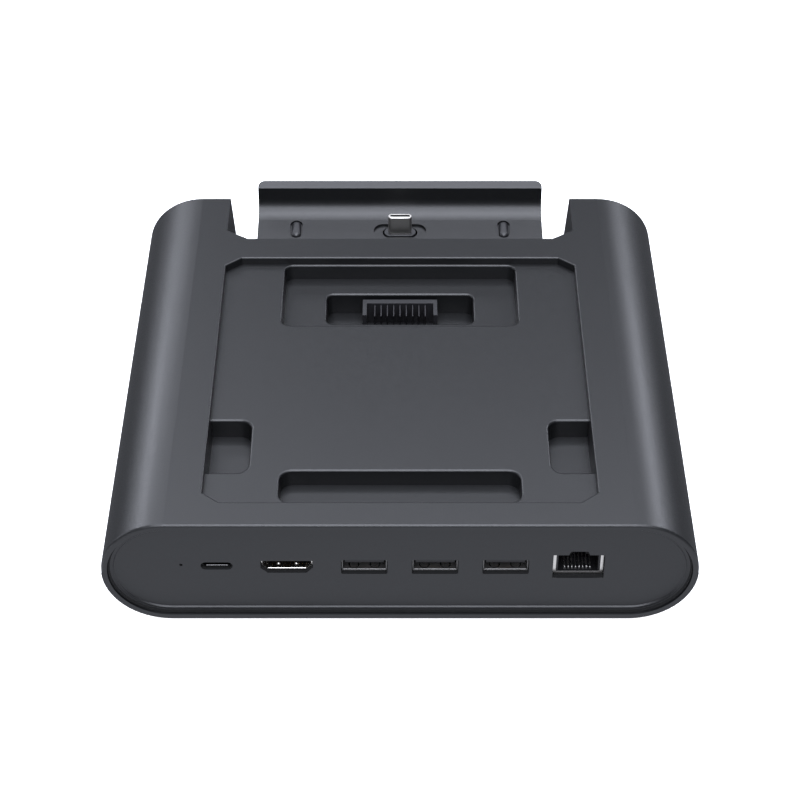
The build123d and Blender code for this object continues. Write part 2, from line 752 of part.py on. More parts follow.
def port_shapes(grow):
    """Outlines of the sockets on the panel, in X and Z, grown outwards."""
    shapes = {"type_c": Pos(TYPE_C_X, TYPE_C_Z) * SlotOverall(TYPE_C_W + 2 * grow, TYPE_C_H + 2 * grow)}
    video = offset(video_face(), grow, kind=Kind.INTERSECTION) if grow else video_face()
    shapes["video"] = Pos(VIDEO_X, VIDEO_Z0 + VIDEO_H / 2) * video
    for number, x in enumerate(TYPE_A_XS, 1):
        plate = RectangleRounded(TYPE_A_W + 2 * grow, TYPE_A_H + 2 * grow, TYPE_A_R + grow)
        shapes[f"type_a_{number}"] = Pos(x, PORT_Z) * plate
    return shapes


def video_face():
    """Outline of the video socket: a rectangle with its lower corners cut."""
    x = VIDEO_W / 2
    z = VIDEO_H / 2
    right = [(x - VIDEO_CUT, -z), (x, VIDEO_CUT - z), (x, z)]
    left = [(-a, b) for a, b in reversed(right)]
    return make_face(Polyline(*right, *left, close=True))


def net_face(grow):
    """Mouth of the network jack: a rectangle with the latch keyway on top."""
    x = NET_W / 2 + grow
    z1 = NET_Z0 + NET_H + grow
    key = NET_KEY_W / 2 + grow
    tip = key - NET_KEY_SLANT
    right = [(x, NET_Z0 - grow), (x, z1), (key, z1), (tip, z1 + NET_KEY_H)]
    left = [(-a, b) for a, b in reversed(right)]
    return Pos(NET_X, 0) * make_face(Polyline(*right, *left, close=True))


def port_panel():
    """End plate in the housing mouth: coved edge, sunk field, flange in the slot, port openings."""
    rim = RIM_T + PANEL_GAP
    plate = along_y(tube_face(rim), RIM_DEPTH - COVE_R, PLATE_Y)
    dish = along_y(tube_face(rim + PANEL_EDGE), -1, RIM_DEPTH)
    plate -= fillet([e for e in dish.edges() if is_near(e.center().Y, RIM_DEPTH)], COVE_R)
    field = tube_face(rim + PANEL_EDGE + COVE_R + PANEL_BORDER)
    plate -= extrude(Plane.XZ.offset(-RIM_DEPTH) * field, -PANEL_SUNK, taper=45)
    plate += along_y(tube_face(RIM_T - SLOT_BITE + FIT), PLATE_Y, SLOT_END)
    cuts = [along_y(face, 0, SLOT_END + 1) for face in port_shapes(PORT_FIT).values()]
    cuts.append(along_y(net_face(PORT_FIT), 0, SLOT_END + 1))
    x0 = NET_X - NET_W / 2 - PORT_FIT
    x1 = NET_X + NET_W / 2 + PORT_FIT
    skin = NET_Y - PORT_FIT
    cuts.append(box(x0, x1, skin, SLOT_END + 1, NET_Z0 - PORT_FIT, NET_TOP + PORT_FIT))
    cuts.append(along_y(Pos(LED_X, LED_Z) * Circle(LED_R), 0, SLOT_END + 1))
    cuts.append(along_y(Pos(LED_X, LED_Z) * Circle(PIPE_R + FIT), RIM_DEPTH + LED_SKIN, SLOT_END + 1))
    return plate - cuts


def light_pipe():
    """Clear rod from the pin hole in the panel back to the status light."""
    spot = Pos(LED_X, LED_Z)
    nib = along_y(spot * Circle(LED_R - SCREW_GAP), RIM_DEPTH + LED_SUNK, RIM_DEPTH + LED_SKIN)
    return nib + along_y(spot * Circle(PIPE_R), RIM_DEPTH + LED_SKIN, LED_Y)


def status_led():
    """Side-firing light on the main board."""
    half = LED_W / 2
    return box(LED_X - half, LED_X + half, LED_Y, LED_Y + LED_L, BOARD_Z, LED_Z + half)


def tube_of(face, inner, y0, y1):
    """Folded sheet tube with an open front."""
    return along_y(face, y0, y1) - along_y(inner, y0 - 1, y1 + 1)


def hem(x, half, y, z, radius):
    """Rolled edge along the foot of a socket's mouth."""
    return along_x(Pos(y + radius, z + radius) * Circle(radius), x - half, x + half)


def finger_slits(x, reach, low):
    """Cuts that free two round-ended spring fingers in a socket's lower wall."""
    outline = SlotOverall(FINGER_L * 2, FINGER_W, rotation=90)
    outline -= SlotOverall(FINGER_L * 2 - 2 * FINGER_SLIT, FINGER_W - 2 * FINGER_SLIT, rotation=90)
    outline &= Pos(0, -FINGER_L / 2) * Rectangle(FINGER_W * 2, FINGER_L)
    back = SOCKET_Y + FINGER_Y + FINGER_L
    return [along_z(Pos(x + s * reach, back) * outline, low - 1, low + 1) for s in SIDES]


def type_a_pieces(number, x):
    """Wide flat socket: steel shell with two spring fingers below, plastic insert."""
    y1 = SOCKET_Y + TYPE_A_L
    outer = port_shapes(0)[f"type_a_{number}"]
    inner = port_shapes(-SHEET)[f"type_a_{number}"]
    shell = tube_of(outer, inner, SOCKET_Y, y1)
    shell -= finger_slits(x, FINGER_X, BOARD_Z)
    shell += hem(x, TYPE_A_W / 2 - TYPE_A_R, SOCKET_Y, BOARD_Z, HEM_R)
    half = TYPE_A_W / 2 - SHEET - TYPE_A_TONGUE_IN
    high = PORT_Z + TYPE_A_H / 2 - SHEET - TYPE_A_TONGUE_DROP
    insert = along_y(inner, y1 - INSERT_BACK, y1)
    tongue_y = SOCKET_Y + TONGUE_BACK
    insert += box(x - half, x + half, tongue_y, y1 - INSERT_BACK, high - TYPE_A_TONGUE_T, high)
    return shell, insert


def type_c_pieces():
    """Small oval socket, raised off the board by its insert."""
    y1 = SOCKET_Y + TYPE_C_L
    y2 = y1 + TYPE_C_BLOCK
    inner = port_shapes(-SHEET)["type_c"]
    shell = tube_of(port_shapes(0)["type_c"], inner, SOCKET_Y, y1)
    half = (TYPE_C_W - TYPE_C_H) / 2
    low = TYPE_C_Z - TYPE_C_H / 2
    shell += hem(TYPE_C_X, half, SOCKET_Y, low, SMALL_HEM_R)
    insert = along_y(inner, y1 - TYPE_C_BLOCK, y1)
    tongue = Pos(TYPE_C_X, TYPE_C_Z) * Rectangle(TYPE_C_TONGUE_W, TYPE_C_TONGUE_T)
    insert += along_y(tongue, SOCKET_Y + TONGUE_BACK, y1)
    back = box(TYPE_C_X - half, TYPE_C_X + half, y1, y2, BOARD_Z, TYPE_C_Z + TYPE_C_H / 2)
    riser = box(TYPE_C_X - half, TYPE_C_X + half, SLOT_END + BOARD_GAP, y2, BOARD_Z, low)
    return shell, insert + [back, riser]


def video_pieces():
    """Video socket: steel shell with cut lower corners, insert with a tongue and a base on the board."""
    y1 = SOCKET_Y + VIDEO_L
    inner = port_shapes(-SHEET)["video"]
    shell = tube_of(port_shapes(0)["video"], inner, SOCKET_Y, y1)
    shell -= finger_slits(VIDEO_X, VIDEO_FINGER_X, VIDEO_Z0)
    for s in SIDES:
        tip = Pos(VIDEO_X + s * VIDEO_FINGER_X, SOCKET_Y + FINGER_Y + FINGER_W / 2, VIDEO_Z0 + SHEET / 2)
        shell += tip * Sphere(DIMPLE_R) & box(-BODY_W, BODY_W, 0, BODY_L, VIDEO_Z0, BODY_H)
    foot = VIDEO_W / 2 - VIDEO_CUT
    shell += hem(VIDEO_X, foot, SOCKET_Y, VIDEO_Z0, HEM_R)
    low = VIDEO_Z0 + VIDEO_H / 2 + VIDEO_TONGUE_UP
    half = VIDEO_TONGUE_W / 2
    tongue_y = SOCKET_Y + TONGUE_BACK
    insert = along_y(inner, y1 - INSERT_BACK, y1)
    insert += box(VIDEO_X - half, VIDEO_X + half, tongue_y, y1, low, low + VIDEO_TONGUE_T)
    base_y = SLOT_END + BOARD_GAP
    base = box(VIDEO_X - foot, VIDEO_X + foot, base_y, y1 + INSERT_BACK, BOARD_Z, VIDEO_Z0)
    heel = box(VIDEO_X - foot, VIDEO_X + foot, y1, y1 + INSERT_BACK, VIDEO_Z0, low)
    insert += [base, heel]
    return shell, insert


def network_pieces():
    """Network jack: folded shield hung in the board by ears, insert and spring wires."""
    y0 = NET_Y
    y1 = y0 + NET_L
    x0 = NET_X - NET_W / 2
    x1 = NET_X + NET_W / 2
    shield = box(x0, x1, y0, y1, NET_Z0, NET_TOP)
    room = box(x0 + SHEET, x1 - SHEET, y0 + SHEET, y1 - SHEET, NET_Z0 + SHEET, NET_TOP - SHEET)
    mouth = along_y(net_face(-NET_FRAME), y0 - 1, y0 + SHEET)
    sill_top = NET_Z0 + 2 * NET_FRAME
    sill = box(x0 + NET_FRAME, x1 - NET_FRAME, y0 - 1, y0 + SHEET, NET_Z0 + NET_SILL, sill_top)
    rolled = hem(NET_X, NET_W / 2, y0, NET_Z0, SMALL_HEM_R)
    shield = shield - [room, mouth, sill] + rolled
    middle = y0 + NET_L / 2
    for a, b in ((x0 - NET_EAR, x0), (x1, x1 + NET_EAR)):
        shield += box(a, b, middle, middle + NET_EAR_L, BOARD_Z, BOARD_Z + SHEET)
    half = NET_W / 2 - NET_FRAME - NET_STEP
    low = NET_Z0 + NET_FRAME
    back = y0 + NET_ROOM_L
    cavity = box(NET_X - half, NET_X + half, y0, back, low, NET_Z0 + NET_H - NET_SILL)
    key = NET_KEY_W / 2 - NET_KEY_SLANT
    keyway = box(NET_X - key, NET_X + key, y0, back, low + NET_FRAME, NET_TOP - NET_FRAME)
    insert = room - [cavity, keyway, rolled]
    start = y0 + NET_FRAME + NET_STEP
    wire = make_face(
        Polyline(
            (start, low),
            (back, low),
            (back, low + NET_WIRE_RISE),
            (start, low + NET_WIRE_T),
            close=True,
        )
    )
    half = NET_WIRE_T / 2
    wires = []
    for n in range(NET_WIRES):
        x = NET_X + (n - (NET_WIRES - 1) / 2) * NET_PITCH
        tip = Pos(x, start + NET_TIP_R, low + NET_TIP_R) * Sphere(NET_TIP_R)
        wires.append(along_x(wire, x - half, x + half) + tip)
    return shield, insert, Compound(children=wires)


def main_board():
    """Board that carries the sockets, cut out around the sunk network jack and under the link screws."""
    y0 = SLOT_END + BOARD_GAP
    half = BOARD_FRONT_W / 2
    board = box(-half, half, y0, y0 + BOARD_FRONT_L, BOARD_Z - BOARD_T, BOARD_Z)
    board += box(-BOARD_W / 2, BOARD_W / 2, y0, BOARD_END, BOARD_Z - BOARD_T, BOARD_Z)
    edge = PORT_FIT + NET_W / 2
    cuts = [box(NET_X - edge, NET_X + edge, 0, NET_Y + NET_L + PORT_FIT, 0, BODY_H)]
    cuts += [rod(spot, BOARD_SHANK + SCREW_GAP, 0, BODY_H) for spot in POST_SPOTS]
    cuts += [rod(spot, BOARD_HEAD + PORT_FIT, 0, BODY_H) for spot in LINK_SPOTS]
    return board - cuts


def hub_chip():
    """Controller on the main board."""
    half = CHIP_W / 2
    return box(-half, half, CHIP_Y - half, CHIP_Y + half, BOARD_Z, BOARD_Z + CHIP_T)


def cable_socket_main():
    """Flat-cable socket at the far edge of the main board."""
    half = CABLE_SOCKET_W / 2
    return box(-half, half, BOARD_END - CABLE_SOCKET_L, BOARD_END, BOARD_Z, BOARD_Z + CABLE_SOCKET_H)


def battery_board():
    """Board under the well that carries the blade connector."""
    half = BATTERY_BOARD_W / 2
    board = box(-half, half, LINK_Y0, LINK_Y1, LINK_Z - THIN_BOARD_T, LINK_Z)
    return board - [rod(spot, BOARD_SHANK + SCREW_GAP, 0, BODY_H) for spot in LINK_SPOTS]


def board_link():
    """Stacking connector between the main board and the battery board."""
    half = LINK_W / 2
    y0 = LINK_Y0 + BOARD_GAP
    return box(-half, half, y0, y0 + LINK_L, BOARD_Z, LINK_Z - THIN_BOARD_T)


def battery_connector():
    """Blade connector housing: back and side walls, comb-like lip in front."""
    half = CONN_W / 2
    base = box(-half, half, CONN_Y0, CONN_Y1, LINK_Z, CONN_FLOOR)
    back = box(-half, half, CONN_Y1 - CONN_BACK, CONN_Y1, LINK_Z, CONN_TOP)
    sides = []
    for y0, top in ((CONN_Y1 - CONN_SIDE_L, CONN_TOP), (CONN_Y0, CONN_LIP)):
        sides.append(box(-half, CONN_SIDE - half, y0, CONN_Y1, LINK_Z, top))
        sides.append(box(half - CONN_SIDE, half, y0, CONN_Y1, LINK_Z, top))
    front = CONN_Y0 + CONN_LIP_T
    lip = box(-half, half, CONN_Y0, front, LINK_Z, CONN_LIP)
    open_half = CONN_SLIT / 2
    low = CONN_FLOOR + CONN_SLIT
    slits = [box(x - open_half, x + open_half, CONN_Y0 - 1, front, low, CONN_TOP) for x in blade_xs()]
    return base + [back, lip] + sides - slits


def blade_xs():
    """Places of the blades along X."""
    return [(n - (BLADES - 1) / 2) * BLADE_PITCH for n in range(BLADES)]


def battery_blades():
    """Upright metal blades between the connector's walls."""
    y1 = CONN_Y1 - CONN_BACK
    half = BLADE_T / 2
    top = CONN_TOP - BLADE_LOW
    plates = [box(x - half, x + half, y1 - BLADE_L, y1, CONN_FLOOR, top) for x in blade_xs()]
    return Compound(children=plates)


def screw(shank, length, head, head_h):
    """Pan-head screw, seat of the head at zero and shank upwards."""
    top = along_z(Circle(head), -head_h, 0)
    top = fillet(level_edges(top, -head_h, anywhere), head_h * 0.4)
    return top + along_z(Circle(shank), 0, length)


def case_screws():
    """Screws from below that hold the shells and the cradle together."""
    one = screw(CASE_SHANK, CASE_LEN, CASE_HEAD, CASE_HEAD_H)
    spots = [(x, y, PART_Z - CASE_GRIP) for x, y in CASE_SPOTS]
    spots += [(x, y, CRADLE_BOSS_Z - CASE_GRIP) for x, y in CRADLE_SPOTS]
    return Compound(children=[Pos(*spot) * one for spot in spots])


def board_screws():
    """Short screws that hold the three boards."""
    one = screw(BOARD_SHANK, BOARD_LEN, BOARD_HEAD, BOARD_HEAD_H)
    turned = Rot(180, 0, 0) * one
    group = [Pos(x, y, BOARD_Z) * turned for x, y in POST_SPOTS]
    group += [Pos(x, y, LINK_Z - THIN_BOARD_T) * one for x, y in LINK_SPOTS]
    plane = floor_plane(0, PLUG_UP)
    under = -PLUG_LEVEL - THIN_BOARD_T
    group += [plane.location * (Pos(s * PLUG_EAR, 0, under) * one) for s in SIDES]
    return Compound(children=group)


def foot(spot):
    """Round rubber foot glued in its recess."""
    pad = rod(spot, FOOT_R, -FOOT_OUT, FOOT_SINK)
    return fillet(level_edges(pad, -FOOT_OUT, anywhere), FOOT_EDGE)


def all_pieces():
    """Every piece of the dock under its node name."""
    pieces = {
        "top_shell": top_shell(),
        "bottom_shell": bottom_shell(),
        "port_panel": port_panel(),
        "cradle": cradle(),
        "cradle_pad_left": cradle_pad(-1),
        "cradle_pad_right": cradle_pad(1),
        "plug_cable": plug_cable(),
        "main_board": main_board(),
        "hub_chip": hub_chip(),
        "cable_socket_main": cable_socket_main(),
        "light_pipe": light_pipe(),
        "status_led": status_led(),
        "battery_board": battery_board(),
        "board_link": board_link(),
        "battery_connector": battery_connector(),
        "battery_blades": battery_blades(),
        "case_screws": case_screws(),
        "board_screws": board_screws(),
    }
    pieces["plug_boot"], pieces["plug_shell"], pieces["plug_core"] = plug_pieces()
    pieces["plug_board"], pieces["cable_socket_plug"] = plug_board()
    pieces["type_c_shell"], pieces["type_c_insert"] = type_c_pieces()
    pieces["video_shell"], pieces["video_insert"] = video_pieces()
    for number, x in enumerate(TYPE_A_XS, 1):
        shell, insert = type_a_pieces(number, x)
        pieces[f"type_a_shell_{number}"] = shell
        pieces[f"type_a_insert_{number}"] = insert
    shield, insert, wires = network_pieces()
    pieces["network_shield"] = shield
    pieces["network_insert"] = insert
    pieces["network_contacts"] = wires
    for number, spot in enumerate(FOOT_SPOTS, 1):
        pieces[f"foot_{number}"] = foot(spot)
    return pieces


os.makedirs("parts", exist_ok=True)
for name, solid in all_pieces().items():
    export_step(solid.moved(SHIFT), f"parts/{name}.step")
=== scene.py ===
import math

import bpy
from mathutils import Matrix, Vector


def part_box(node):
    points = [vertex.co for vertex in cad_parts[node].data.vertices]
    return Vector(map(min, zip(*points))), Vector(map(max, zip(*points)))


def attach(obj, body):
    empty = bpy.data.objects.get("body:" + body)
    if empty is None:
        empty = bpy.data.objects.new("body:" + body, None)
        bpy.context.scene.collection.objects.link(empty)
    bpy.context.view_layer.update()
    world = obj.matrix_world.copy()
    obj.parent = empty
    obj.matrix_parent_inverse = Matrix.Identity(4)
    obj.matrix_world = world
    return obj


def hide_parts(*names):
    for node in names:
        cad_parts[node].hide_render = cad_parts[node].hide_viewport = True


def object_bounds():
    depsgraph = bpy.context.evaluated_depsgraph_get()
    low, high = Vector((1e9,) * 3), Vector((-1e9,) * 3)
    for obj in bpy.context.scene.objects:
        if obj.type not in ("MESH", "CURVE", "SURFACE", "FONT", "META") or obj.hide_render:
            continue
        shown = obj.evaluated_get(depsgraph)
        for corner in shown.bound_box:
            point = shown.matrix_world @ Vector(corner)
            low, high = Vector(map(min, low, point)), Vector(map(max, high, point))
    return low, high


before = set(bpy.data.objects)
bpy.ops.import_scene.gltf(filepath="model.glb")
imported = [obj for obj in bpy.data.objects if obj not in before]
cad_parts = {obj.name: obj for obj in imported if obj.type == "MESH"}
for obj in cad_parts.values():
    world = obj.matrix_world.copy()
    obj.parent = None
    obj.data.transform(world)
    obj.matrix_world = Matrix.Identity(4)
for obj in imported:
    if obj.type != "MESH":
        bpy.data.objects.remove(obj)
cad_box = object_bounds()


# Bottom shell: lower half of the housing with the trough that reaches out under the cradle.
# Near-black PC/ABS, moulded in a spark-eroded tool; the main board and the top shell are screwed to it.

MM = 0.001


def linear(code):
    """Linear colour of an sRGB hex value."""
    parts = [int(code[i : i + 2], 16) / 255 for i in (1, 3, 5)]
    return (*[c / 12.92 if c < 0.04045 else ((c + 0.055) / 1.055) ** 2.4 for c in parts], 1.0)


def feed(tree, node, inputs):
    """Gives a node's sockets their values, or links them to other sockets. Sockets that share a name go
    by number: in a mix node 0 is the factor, 2 and 3 are the two values, 6 and 7 the two colours."""
    for name, value in inputs.items():
        if isinstance(value, bpy.types.NodeSocket):
            tree.links.new(value, node.inputs[name])
        else:
            node.inputs[name].default_value = value


def add(tree, kind, inputs, **settings):
    """One node with its settings and links."""
    node = tree.nodes.new(kind)
    for name, value in settings.items():
        setattr(node, name, value)
    feed(tree, node, inputs)
    return node


def blank(name):
    """New material: its tree, its shader and the piece's own coordinates in metres."""
    material = bpy.data.materials.new(name)
    material.use_nodes = True
    tree = material.node_tree
    place = add(tree, "ShaderNodeTexCoord", {}).outputs["Object"]
    return material, tree, tree.nodes["Principled BSDF"], place


def dress(material, *names):
    """Puts a material on nodes of the frame."""
    for name in names:
        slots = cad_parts[name].data.materials
        slots.clear()
        slots.append(material)


# Most of a noise pattern lies between these two values.
NOISE_LOW = 0.3
NOISE_HIGH = 0.7


def moulded(name, dark, light, rough, grain_mm, depth_mm):
    """Moulded plastic or rubber: one colour with faint clouds where the melt flowed, and the even grain
    of the tool, which breaks up the gloss. Real grain is near 0.1 mm and wouldn't show, so it is drawn
    coarser."""
    cloud_mm = 38
    swing = 0.05
    material, tree, shader, place = blank(name)
    grain = add(tree, "ShaderNodeTexNoise", {"Vector": place, "Scale": 1 / (grain_mm * MM), "Detail": 2.0})
    flow = add(tree, "ShaderNodeTexNoise", {"Vector": place, "Scale": 1 / (cloud_mm * MM), "Detail": 3.0})
    shade = add(
        tree,
        "ShaderNodeMix",
        {0: flow.outputs[0], 6: linear(dark), 7: linear(light)},
        data_type="RGBA",
    )
    gloss = add(
        tree,
        "ShaderNodeMapRange",
        {
            "Value": grain.outputs[0],
            "From Min": NOISE_LOW,
            "From Max": NOISE_HIGH,
            "To Min": rough - swing,
            "To Max": rough + swing,
        },
    )
    bump = add(
        tree,
        "ShaderNodeBump",
        {"Height": grain.outputs[0], "Strength": 0.2, "Distance": depth_mm * MM},
    )
    feed(
        tree,
        shader,
        {
            "Base Color": shade.outputs[2],
            "Roughness": gloss.outputs[0],
            "Normal": bump.outputs[0],
            "IOR": 1.54,
        },
    )
    return material


# The dark pigment leaves little more than the sheen of the grained skin to see.
PIGMENT = ("#0a0b0c", "#0c0d0e")
housing_abs = moulded("pc_abs_spark_grain", *PIGMENT, rough=0.4, grain_mm=0.5, depth_mm=0.02)
dress(housing_abs, "bottom_shell")


# Main board: glass-epoxy board with the controller chip and the flat-cable socket, on posts in the
# bottom shell. Black mask over copper tracks; short pan-head screws hold it and the two smaller boards.

WAVE_PERIOD = 0.314


def masked(name, field, track, pitch_mm):
    """Lacquered sheet, a board or a flat cable: glossy, lighter in thin lines where copper lies
    under it. At a scale of 1 the pattern's bands lie a little more than WAVE_PERIOD apart."""
    material, tree, shader, place = blank(name)
    lines = add(
        tree,
        "ShaderNodeTexWave",
        {
            "Vector": place,
            "Scale": WAVE_PERIOD / (pitch_mm * MM),
            "Distortion": 4.0,
            "Detail": 1.0,
            "Detail Scale": 0.6,
        },
        bands_direction="DIAGONAL",
    )
    shade = add(
        tree,
        "ShaderNodeMix",
        {0: lines.outputs["Fac"], 6: linear(field), 7: linear(track)},
        data_type="RGBA",
    )
    bump = add(
        tree,
        "ShaderNodeBump",
        {"Height": lines.outputs["Fac"], "Strength": 0.3, "Distance": 0.035 * MM},
    )
    feed(
        tree,
        shader,
        {
            "Base Color": shade.outputs[2],
            "Roughness": 0.3,
            "Normal": bump.outputs[0],
            "IOR": 1.52,
        },
    )
    return material


# Black mask: what shows of the board through the slits of the sockets stays dark.
solder_mask = masked("epoxy_board_black_mask", "#0b0d0c", "#151816", pitch_mm=1.2)
dress(solder_mask, "main_board")
# Moulding compound of chips is matt and a shade greyer than the sockets' plastic.
chip_epoxy = moulded("epoxy_chip_black", "#141414", "#1b1b1b", rough=0.6, grain_mm=0.3, depth_mm=0.01)
dress(chip_epoxy, "hub_chip")
# Glass-filled liquid crystal polymer: black, satin, with faint flow marks.
socket_lcp = moulded(
    "glass_filled_lcp_black", "#08080a", "#0d0d0f", rough=0.48, grain_mm=0.35, depth_mm=0.01
)
dress(socket_lcp, "cable_socket_main")


def stamped(name, colour, rough):
    """Stamped or drawn metal: bright, with the fine lines of rolling along the depth of the dock.
    Rolled lines are some hundredths of a millimetre wide and are drawn coarser."""
    line_mm = 0.5
    run_mm = 15
    swing = 0.03
    material, tree, shader, place = blank(name)
    scale = (1 / (line_mm * MM), 1 / (run_mm * MM), 1 / (line_mm * MM))
    drawn = add(tree, "ShaderNodeMapping", {"Vector": place, "Scale": scale})
    lines = add(tree, "ShaderNodeTexNoise", {"Vector": drawn.outputs[0], "Scale": 1.0, "Detail": 2.0})
    gloss = add(
        tree,
        "ShaderNodeMapRange",
        {
            "Value": lines.outputs[0],
            "From Min": NOISE_LOW,
            "From Max": NOISE_HIGH,
            "To Min": rough - swing,
            "To Max": rough + swing,
        },
    )
    bump = add(
        tree,
        "ShaderNodeBump",
        {"Height": lines.outputs[0], "Strength": 0.05, "Distance": 0.002 * MM},
    )
    feed(
        tree,
        shader,
        {
            "Base Color": linear(colour),
            "Metallic": 1.0,
            "Roughness": gloss.outputs[0],
            "Normal": bump.outputs[0],
        },
    )
    return material


# Passivated zinc: dark, dull and slightly warm.
black_zinc = stamped("black_zinc_steel", "#3c3b3b", rough=0.42)
dress(black_zinc, "board_screws")


# Small oval socket: deep-drawn stainless shell around a black insert with a thin tongue.
# The tongue carries two rows of gold-plated contacts; the insert raises the socket off the board.

# Drawn stainless: grey, and only the hem at its mouth shines.
grey_steel = stamped("drawn_stainless_steel", "#7f7e7d", rough=0.28)
dress(grey_steel, "type_c_shell")
dress(socket_lcp, "type_c_insert")
# Thin gold plate: warm and smooth.
gold = stamped("gold_plated_bronze", "#d9b36c", rough=0.24)

# Edges flatter than SMOOTH_DEG are shaded smooth, PAD_ROUND is a share of a pad's thinnest side, and faces
# are picked by their place with a SLACK in millimetres.
SMOOTH_DEG = 35
PAD_ROUND = 0.2
SLACK = 0.01


def start(name, size_mm, at_mm, centre=(0, 0, 0)):
    """Cube stretched to a size at a place, with everything else deselected."""
    bpy.ops.object.select_all(action="DESELECT")
    spot = Vector(centre) + Vector(at_mm) * MM
    bpy.ops.mesh.primitive_cube_add(size=1.0, location=spot)
    piece = bpy.context.object
    piece.name = name
    piece.scale = Vector(size_mm) * MM
    bpy.ops.object.transform_apply(location=False, rotation=False, scale=True)
    return piece


def pick(piece, test):
    """Goes to edit mode with only those faces selected whose centre, in millimetres, passes a test."""
    bpy.ops.object.mode_set(mode="EDIT")
    bpy.ops.mesh.select_mode(type="FACE")
    bpy.ops.mesh.select_all(action="DESELECT")
    bpy.ops.object.mode_set(mode="OBJECT")
    for face in piece.data.polygons:
        face.select = test(face.center / MM)
    bpy.ops.object.mode_set(mode="EDIT")


def settle(piece, material):
    """Puts the piece's place into its mesh, smooths it, and gives it finish, slot and body."""
    bpy.ops.object.mode_set(mode="OBJECT")
    bpy.ops.object.transform_apply(location=True, rotation=True, scale=True)
    bpy.ops.object.shade_smooth_by_angle(angle=math.radians(SMOOTH_DEG))
    piece.data.materials.append(material)
    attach(piece, "root")


def contact_row(name, pad_mm, pitch_mm, count, at_mm, centre):
    """Row of bevelled contact pads along X, let into a tongue so that only a film stands proud."""
    piece = start(name, pad_mm, at_mm, centre)
    bpy.ops.object.mode_set(mode="EDIT")
    bpy.ops.mesh.select_all(action="SELECT")
    bpy.ops.mesh.bevel(offset=PAD_ROUND * min(pad_mm) * MM, segments=2)
    bpy.ops.object.mode_set(mode="OBJECT")
    row = piece.modifiers.new("row", "ARRAY")
    row.count = count
    row.use_relative_offset = False
    row.use_constant_offset = True
    row.constant_offset_displace = (pitch_mm * MM, 0, 0)
    bpy.ops.object.modifier_apply(modifier=row.name)
    settle(piece, gold)


def mouth_of(node):
    """Point in the middle of a socket's front, in metres."""
    low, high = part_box(node)
    return Vector(((low[0] + high[0]) / 2, low[1], (low[2] + high[2]) / 2))


PAD_OUT = 0.02
oval_front = mouth_of("type_c_shell")
OVAL_PADS = 12
OVAL_PITCH = 0.5
OVAL_PAD = (0.28, 3.6, 0.08)
OVAL_PAD_IN = 4.4
OVAL_TONGUE_T = 0.7
for word, way in (("upper", 1), ("lower", -1)):
    x = -OVAL_PITCH * (OVAL_PADS - 1) / 2
    z = way * (OVAL_TONGUE_T / 2 - OVAL_PAD[2] / 2 + PAD_OUT)
    first = (x, OVAL_PAD_IN, z)
    contact_row(f"type_c_contacts_{word}", OVAL_PAD, OVAL_PITCH, OVAL_PADS, first, oval_front)


# Video socket: bright folded steel with cut lower corners, rolled front edge and two sprung dimples.
# A black tongue inside holds ten contacts above and nine below; it stands on the board by a base.

# Bright nickel throws back the light from above as clean white lines.
BRIGHT_NICKEL = "#d6d3cd"
bright_steel = stamped("bright_nickel_steel", BRIGHT_NICKEL, rough=0.24)
dress(bright_steel, "video_shell")
dress(socket_lcp, "video_insert")
video_front = mouth_of("video_shell")
VIDEO_TONGUE_Z = 0.95
VIDEO_TONGUE_T = 0.9
VIDEO_PAD = (0.5, 5.0, 0.1)
VIDEO_PAD_IN = 5.4
VIDEO_PITCH = 1.0
for word, way, count in (("upper", 1, 10), ("lower", -1, 9)):
    x = -VIDEO_PITCH * (count - 1) / 2
    z = VIDEO_TONGUE_Z + way * (VIDEO_TONGUE_T / 2 - VIDEO_PAD[2] / 2 + PAD_OUT)
    first = (x, VIDEO_PAD_IN, z)
    contact_row(f"video_contacts_{word}", VIDEO_PAD, VIDEO_PITCH, count, first, video_front)


# Three wide flat sockets: dull nickel-plated shells with two spring fingers cut in the lower wall.
# Under each black tongue lie four gold-plated springs that bow down to meet the plug.

# Matt plating: no mirror images, only a grey that fades into the mouth.
dull_nickel = stamped("matt_nickel_steel", "#81807e", rough=0.55)
TYPE_A_TONGUE_LOW = -0.1
SPRING_W = 1.0
SPRING_T = 0.15
SPRING_ROOT_L = 3.0
SPRING_IN = 7.6
SPRING_TIP = 0.6
SPRING_XS = (-3.5, -1.0, 1.0, 3.5)
SPRING_BOW = ((1.2, -0.1), (1.2, -0.22), (0.9, -0.2), (0.6, -0.02), (0.6, 0.16), (0.5, 0.3))
for number in (1, 2, 3):
    dress(dull_nickel, f"type_a_shell_{number}")
    dress(socket_lcp, f"type_a_insert_{number}")
    flat_front = mouth_of(f"type_a_shell_{number}")
    for index, x in enumerate(SPRING_XS, 1):
        seat = (x, SPRING_IN, TYPE_A_TONGUE_LOW - SPRING_T / 2)
        root = (SPRING_W, SPRING_ROOT_L, SPRING_T)
        spring = start(f"type_a_spring_{number}_{index}", root, seat, flat_front)
        pick(spring, lambda c: c.y < SLACK - SPRING_ROOT_L / 2)
        for forward, down in SPRING_BOW:
            step = (0, -forward * MM, down * MM)
            bpy.ops.mesh.extrude_region_move(TRANSFORM_OT_translate={"value": step})
        bpy.ops.transform.resize(value=(SPRING_TIP, 1.0, 1.0))
        settle(spring, gold)


# Network jack: folded bright shield with ears on the board, black insert with the keyway upwards.
# Eight plated spring wires rise from the front of its floor to the back.

def reopen(material):
    """Tree, shader and separate coordinates of a material whose finish changes with the place."""
    tree = material.node_tree
    place = tree.nodes["Texture Coordinate"].outputs["Object"]
    axes = add(tree, "ShaderNodeSeparateXYZ", {"Vector": place})
    return tree, tree.nodes["Principled BSDF"], axes.outputs


